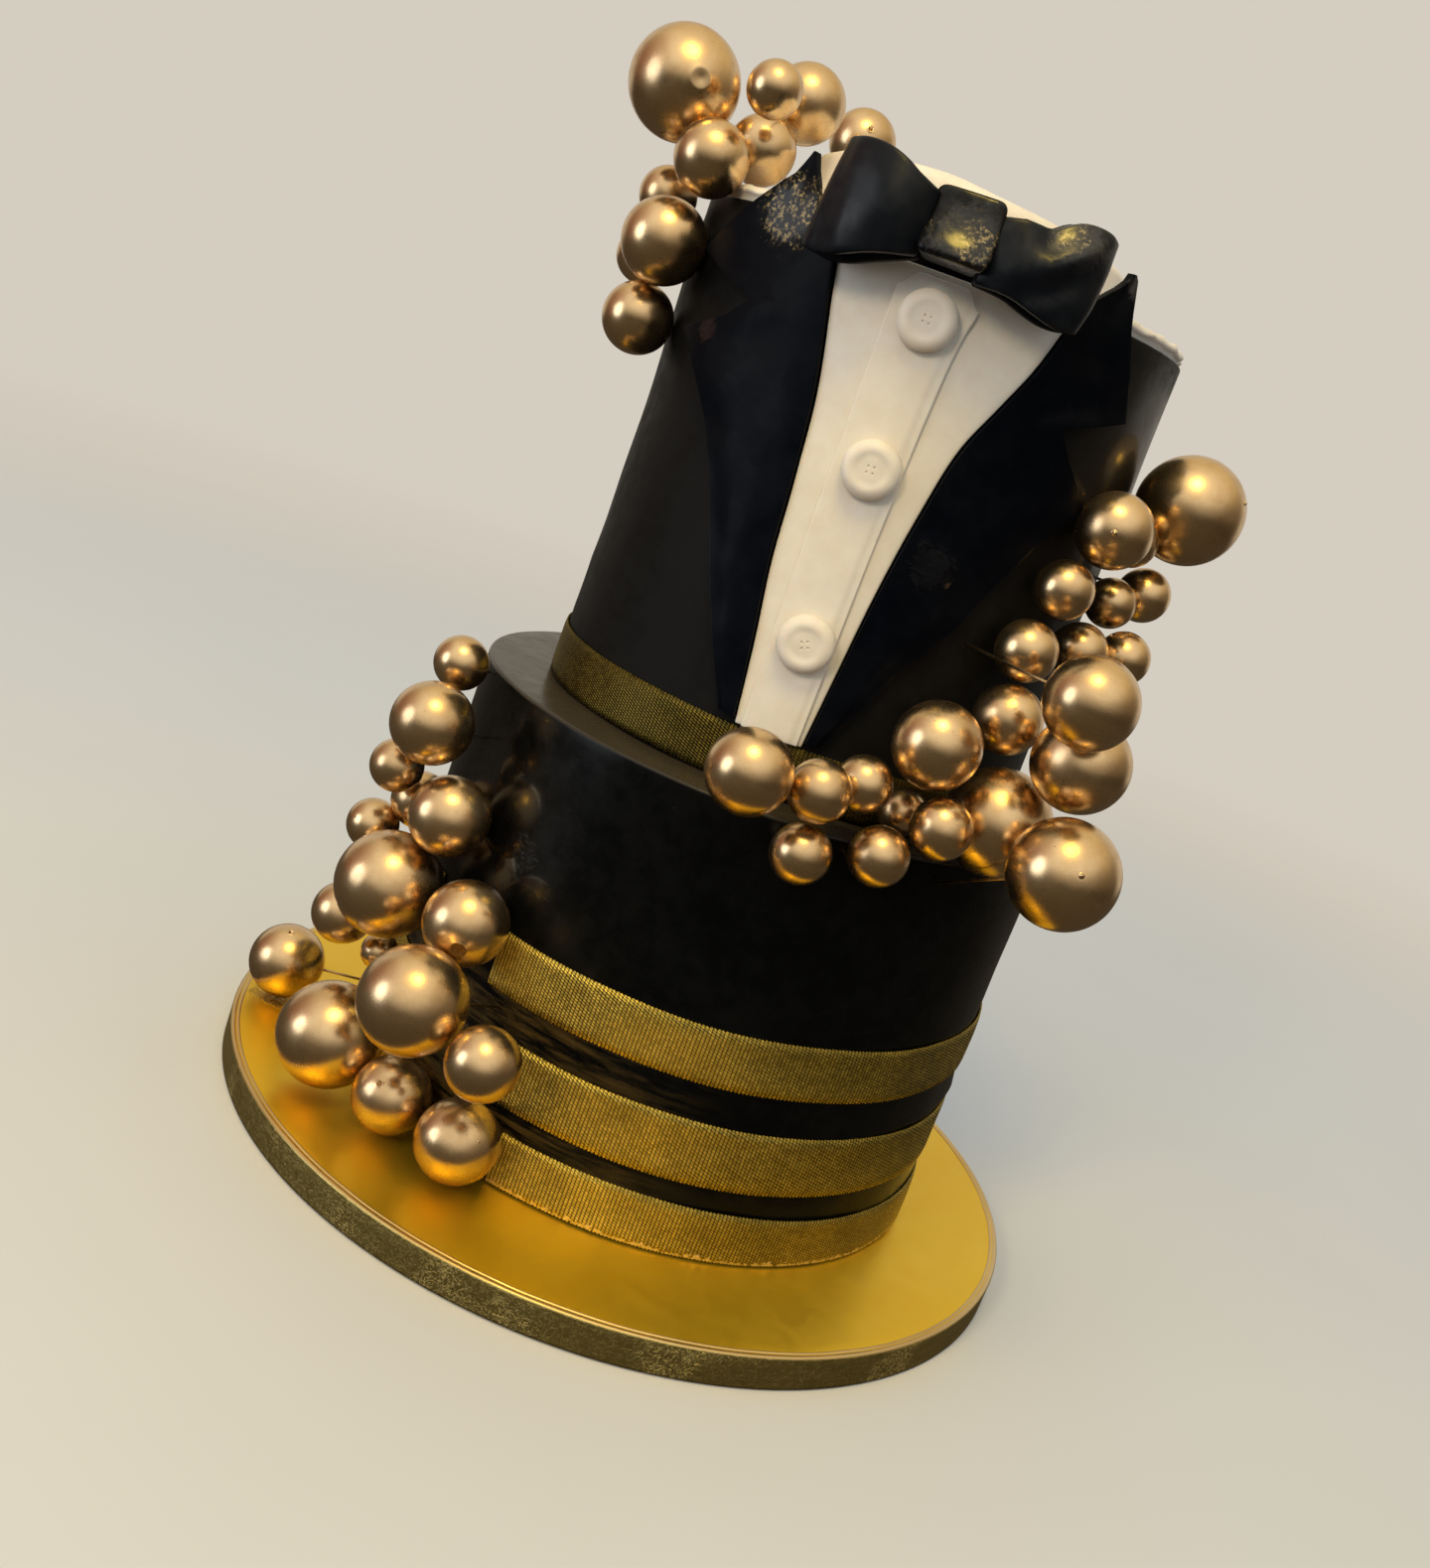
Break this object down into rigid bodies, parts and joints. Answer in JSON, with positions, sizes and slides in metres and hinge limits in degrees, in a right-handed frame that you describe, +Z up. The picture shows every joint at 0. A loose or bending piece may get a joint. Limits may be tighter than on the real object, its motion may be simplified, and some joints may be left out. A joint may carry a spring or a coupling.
{
  "type": "tiered tuxedo cake",
  "caption": "Tiered cake dressed as a black dinner jacket with a white shirt front, bow tie, gold ribbons and clusters of gold balls, on a round gold board.",
  "frame": {"origin": "centre of the underside of the round board", "axes": "+Z up; -Y is the shirt front; +X is to the right of a viewer who faces the shirt"},
  "size_m": [0.3048, 0.3048, 0.383],
  "materials": {
    "black_icing": "satin black rolled icing, patchily glossy",
    "white_icing": "smooth warm white rolled icing",
    "gold_ribbon": "woven metallic gold ribbon with fine ribs",
    "board_foil": "smooth gold foil paper",
    "gold_ball": "pearl gold lacquer on light balls"
  },
  "bodies": {
    "root": {"board": "board_foil", "board_band": "gold_ribbon", "bow_knot": "black_icing", "bow_left": "black_icing", "bow_right": "black_icing", "button_1": "white_icing", "button_2": "white_icing", "button_3": "white_icing", "cascade_ball_01": "gold_ball", "cascade_ball_02": "gold_ball", "cascade_ball_03": "gold_ball", "cascade_ball_04": "gold_ball", "cascade_ball_05": "gold_ball", "cascade_ball_06": "gold_ball", "cascade_ball_07": "gold_ball", "cascade_ball_08": "gold_ball", "cascade_ball_09": "gold_ball", "cascade_ball_10": "gold_ball", "cascade_ball_11": "gold_ball", "cascade_ball_12": "gold_ball", "collar_tip_left": "black_icing", "collar_tip_right": "black_icing", "crown_ball_01": "gold_ball", "crown_ball_02": "gold_ball", "crown_ball_03": "gold_ball", "crown_ball_04": "gold_ball", "crown_ball_05": "gold_ball", "crown_ball_06": "gold_ball", "crown_ball_07": "gold_ball", "crown_ball_08": "gold_ball", "garland_ball_01": "gold_ball", "garland_ball_02": "gold_ball", "garland_ball_03": "gold_ball", "garland_ball_04": "gold_ball", "garland_ball_05": "gold_ball", "garland_ball_06": "gold_ball", "garland_ball_07": "gold_ball", "garland_ball_08": "gold_ball", "garland_ball_09": "gold_ball", "garland_ball_10": "gold_ball", "garland_ball_11": "gold_ball", "garland_ball_12": "gold_ball", "garland_ball_13": "gold_ball", "garland_ball_14": "gold_ball", "garland_ball_15": "gold_ball", "garland_ball_16": "gold_ball", "garland_ball_17": "gold_ball", "garland_ball_18": "gold_ball", "lapel_left": "black_icing", "lapel_right": "black_icing", "lower_ribbon_1": "gold_ribbon", "lower_ribbon_2": "gold_ribbon", "lower_ribbon_3": "gold_ribbon", "lower_tier": "black_icing", "placket": "white_icing", "shirt": "white_icing", "top_disc": "white_icing", "top_mound": "white_icing", "upper_ribbon": "gold_ribbon", "upper_tier": "black_icing"}
  },
  "joints": []
}
